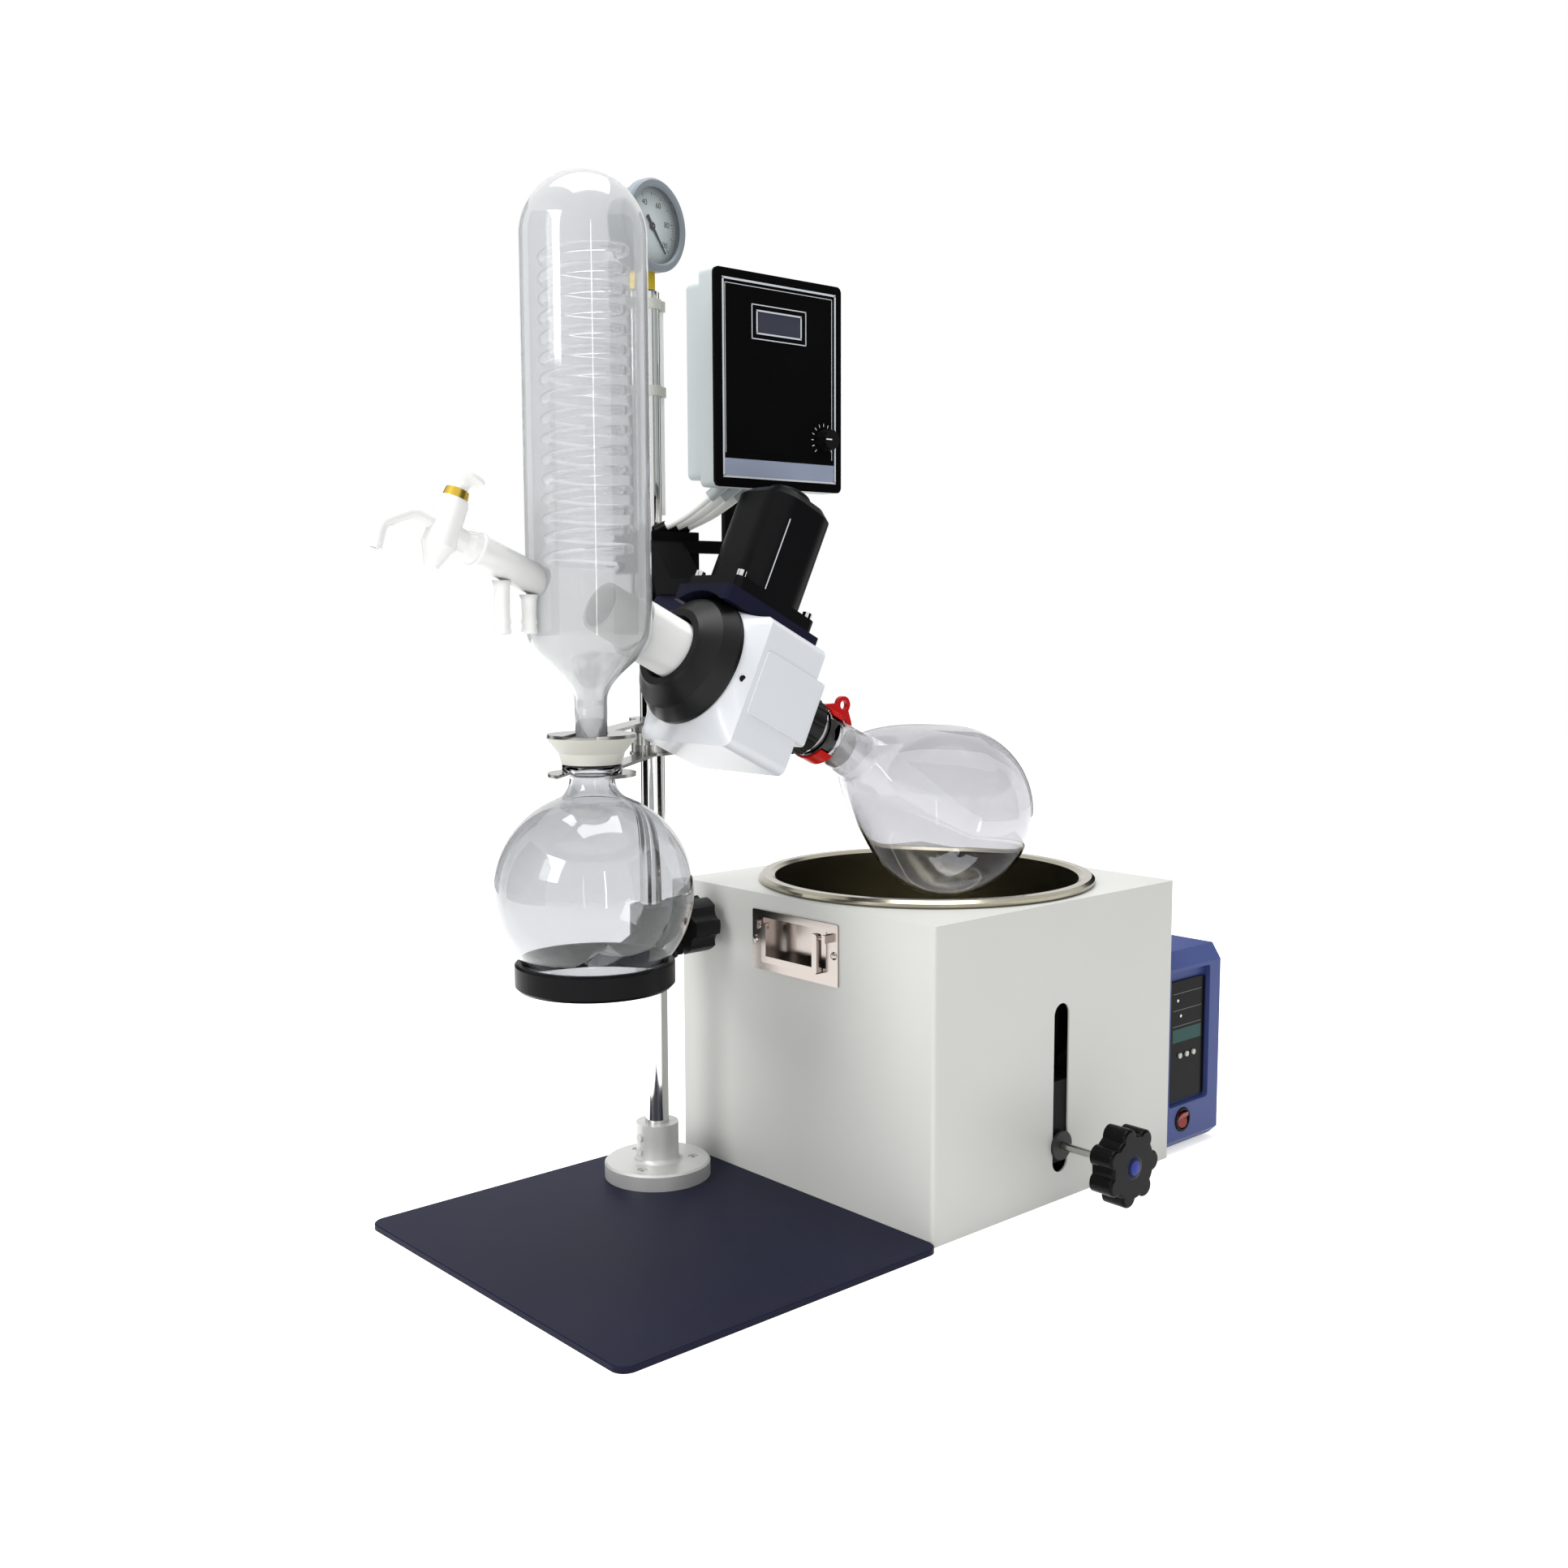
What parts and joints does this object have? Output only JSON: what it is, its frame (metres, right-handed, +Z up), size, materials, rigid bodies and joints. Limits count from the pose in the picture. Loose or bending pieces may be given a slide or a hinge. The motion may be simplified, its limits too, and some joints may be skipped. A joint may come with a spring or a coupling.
{
  "type": "rotary evaporator",
  "caption": "Rotary evaporator: tilted drive head with flask, upright coil condenser and receiving flask on a column, beside a lifting heating bath.",
  "frame": {"origin": "the column's axis on the table plane", "axes": "+Z up, +X from the column towards the bath, -Y towards the operator"},
  "size_m": [0.9447, 0.5034, 1.029],
  "materials": {
    "navy_paint": "satin",
    "black_paint": "satin",
    "white_paint": "satin",
    "grey_paint": "satin",
    "chrome": "polished",
    "steel": "brushed",
    "stainless": "brushed",
    "brass": "polished",
    "black_plastic": "matte",
    "blue_plastic": "matte",
    "gloss_black": "gloss",
    "white_plastic": "matte",
    "grey_plastic": "matte",
    "red_plastic": "gloss",
    "glass": "clear",
    "white_rubber": "matte"
  },
  "bodies": {
    "stand": {"base_plate": "navy_paint", "column_flange": "steel", "base_screws": "steel", "column": "chrome", "gauge_fitting": "brass", "gauge_case": "grey_paint", "gauge_window": "glass", "vacuum_pipe": "white_plastic", "pipe_clips": "grey_plastic", "head_clamp": "black_paint", "head_screws": "chrome", "head_plate": "navy_paint", "gearbox": "white_paint", "shaft_bearings": "steel", "ring_nut": "black_plastic", "vapour_duct": "white_plastic", "motor_housing": "black_paint", "condenser_jacket": "glass", "condenser_coil": "glass", "joint_cone": "white_plastic", "receiving_flask": "glass", "clamp_plate_top": "chrome", "clamp_plate_low": "chrome", "clamp_block": "chrome", "support_ring": "black_paint", "ring_clamp": "black_paint", "feed_valve": "glass", "box_post": "black_paint", "control_housing": "grey_plastic", "control_bezel": "gloss_black", "control_display": "grey_plastic", "lead_1": "white_rubber", "lead_2": "white_rubber", "lead_3": "white_rubber", "bath_casing": "grey_paint", "controller_housing": "blue_plastic", "controller_panel": "gloss_black", "handle_tray_left": "chrome", "handle_tray_right": "chrome"},
    "shaft": {"hollow_shaft": "glass", "drive_gear": "steel", "pull_nut": "black_plastic", "joint_clip": "red_plastic", "evaporating_flask": "glass"},
    "motor_spindle": {"motor_rotor": "steel"},
    "lift": {"tub": "stainless", "lift_carriage": "steel"},
    "lift_lock": {"lock_spindle": "steel", "star_knob": "black_plastic"},
    "speed_dial": {"speed_knob": "black_plastic"},
    "feed_plug": {"valve_plug": "white_plastic"},
    "needle": {"gauge_needle": "black_plastic"},
    "bail_left": {"handle_bail_left": "chrome"},
    "bail_right": {"handle_bail_right": "chrome"},
    "joint_lever": {"clamp_lever": "chrome"},
    "ring_screw": {"ring_knob": "black_plastic"},
    "key_1": {"button_1": "white_plastic"},
    "key_2": {"button_2": "white_plastic"},
    "key_3": {"button_3": "white_plastic"},
    "rocker": {"power_rocker": "red_plastic"}
  },
  "joints": [
    {"name": "shaft_spin", "type": "hinge", "parent": "stand", "child": "shaft", "pos_m": [-0.171, -0.136, 0.613], "axis": [0.8988, 0, -0.4384], "continuous": true},
    {"name": "motor_spin", "type": "hinge", "parent": "stand", "child": "motor_spindle", "pos_m": [-0.01641, -0.136, 0.5376], "axis": [0.4384, 0, 0.8988], "continuous": true},
    {"name": "bath_lift", "type": "slide", "parent": "stand", "child": "lift", "axis": [0, 0, 1], "range_m": [0, 0.1]},
    {"name": "lift_lock_turn", "type": "hinge", "parent": "lift", "child": "lift_lock", "pos_m": [0.268, -0.326, 0.058], "axis": [0, -1, 0], "range_deg": [-180, 180]},
    {"name": "speed_dial_turn", "type": "hinge", "parent": "stand", "child": "speed_dial", "pos_m": [0.155, -0.094, 0.777], "axis": [0, -1, 0], "range_deg": [-280, 0]},
    {"name": "feed_plug_turn", "type": "hinge", "parent": "stand", "child": "feed_plug", "pos_m": [-0.31644, -0.136, 0.66774], "axis": [0.3907, 0, 0.9205], "range_deg": [-90, 90]},
    {"name": "needle_turn", "type": "hinge", "parent": "stand", "child": "needle", "pos_m": [0, 0, 0.984], "axis": [0.225, -0.9744, 0], "range_deg": [0, 220]},
    {"name": "bail_left_swing", "type": "hinge", "parent": "stand", "child": "bail_left", "pos_m": [0.0715, -0.1335, 0.278], "axis": [0, 1, 0], "range_deg": [0, 90]},
    {"name": "bail_right_swing", "type": "hinge", "parent": "stand", "child": "bail_right", "pos_m": [0.4645, -0.1335, 0.278], "axis": [0, -1, 0], "range_deg": [0, 90]},
    {"name": "joint_lever_turn", "type": "hinge", "parent": "stand", "child": "joint_lever", "pos_m": [-0.02974, -0.02365, 0.474], "axis": [0, 0, 1], "range_deg": [-20, 20]},
    {"name": "ring_screw_turn", "type": "hinge", "parent": "stand", "child": "ring_screw", "pos_m": [0.03, 0, 0.269], "axis": [1, 0, 0], "range_deg": [-180, 180]},
    {"name": "key_1_press", "type": "slide", "parent": "stand", "child": "key_1", "axis": [0, 1, 0], "range_m": [0, 0.001], "stiffness_N_per_m": 500, "springref_m": -0.0002},
    {"name": "key_2_press", "type": "slide", "parent": "stand", "child": "key_2", "axis": [0, 1, 0], "range_m": [0, 0.001], "stiffness_N_per_m": 500, "springref_m": -0.0002},
    {"name": "key_3_press", "type": "slide", "parent": "stand", "child": "key_3", "axis": [0, 1, 0], "range_m": [0, 0.001], "stiffness_N_per_m": 500, "springref_m": -0.0002},
    {"name": "rocker_tilt", "type": "hinge", "parent": "stand", "child": "rocker", "pos_m": [0.488, -0.322, 0.036], "axis": [1, 0, 0], "range_deg": [0, 12]}
  ],
  "couplings": [
    {"joint": "motor_spin", "follows": "shaft_spin", "ratio": -2}
  ]
}
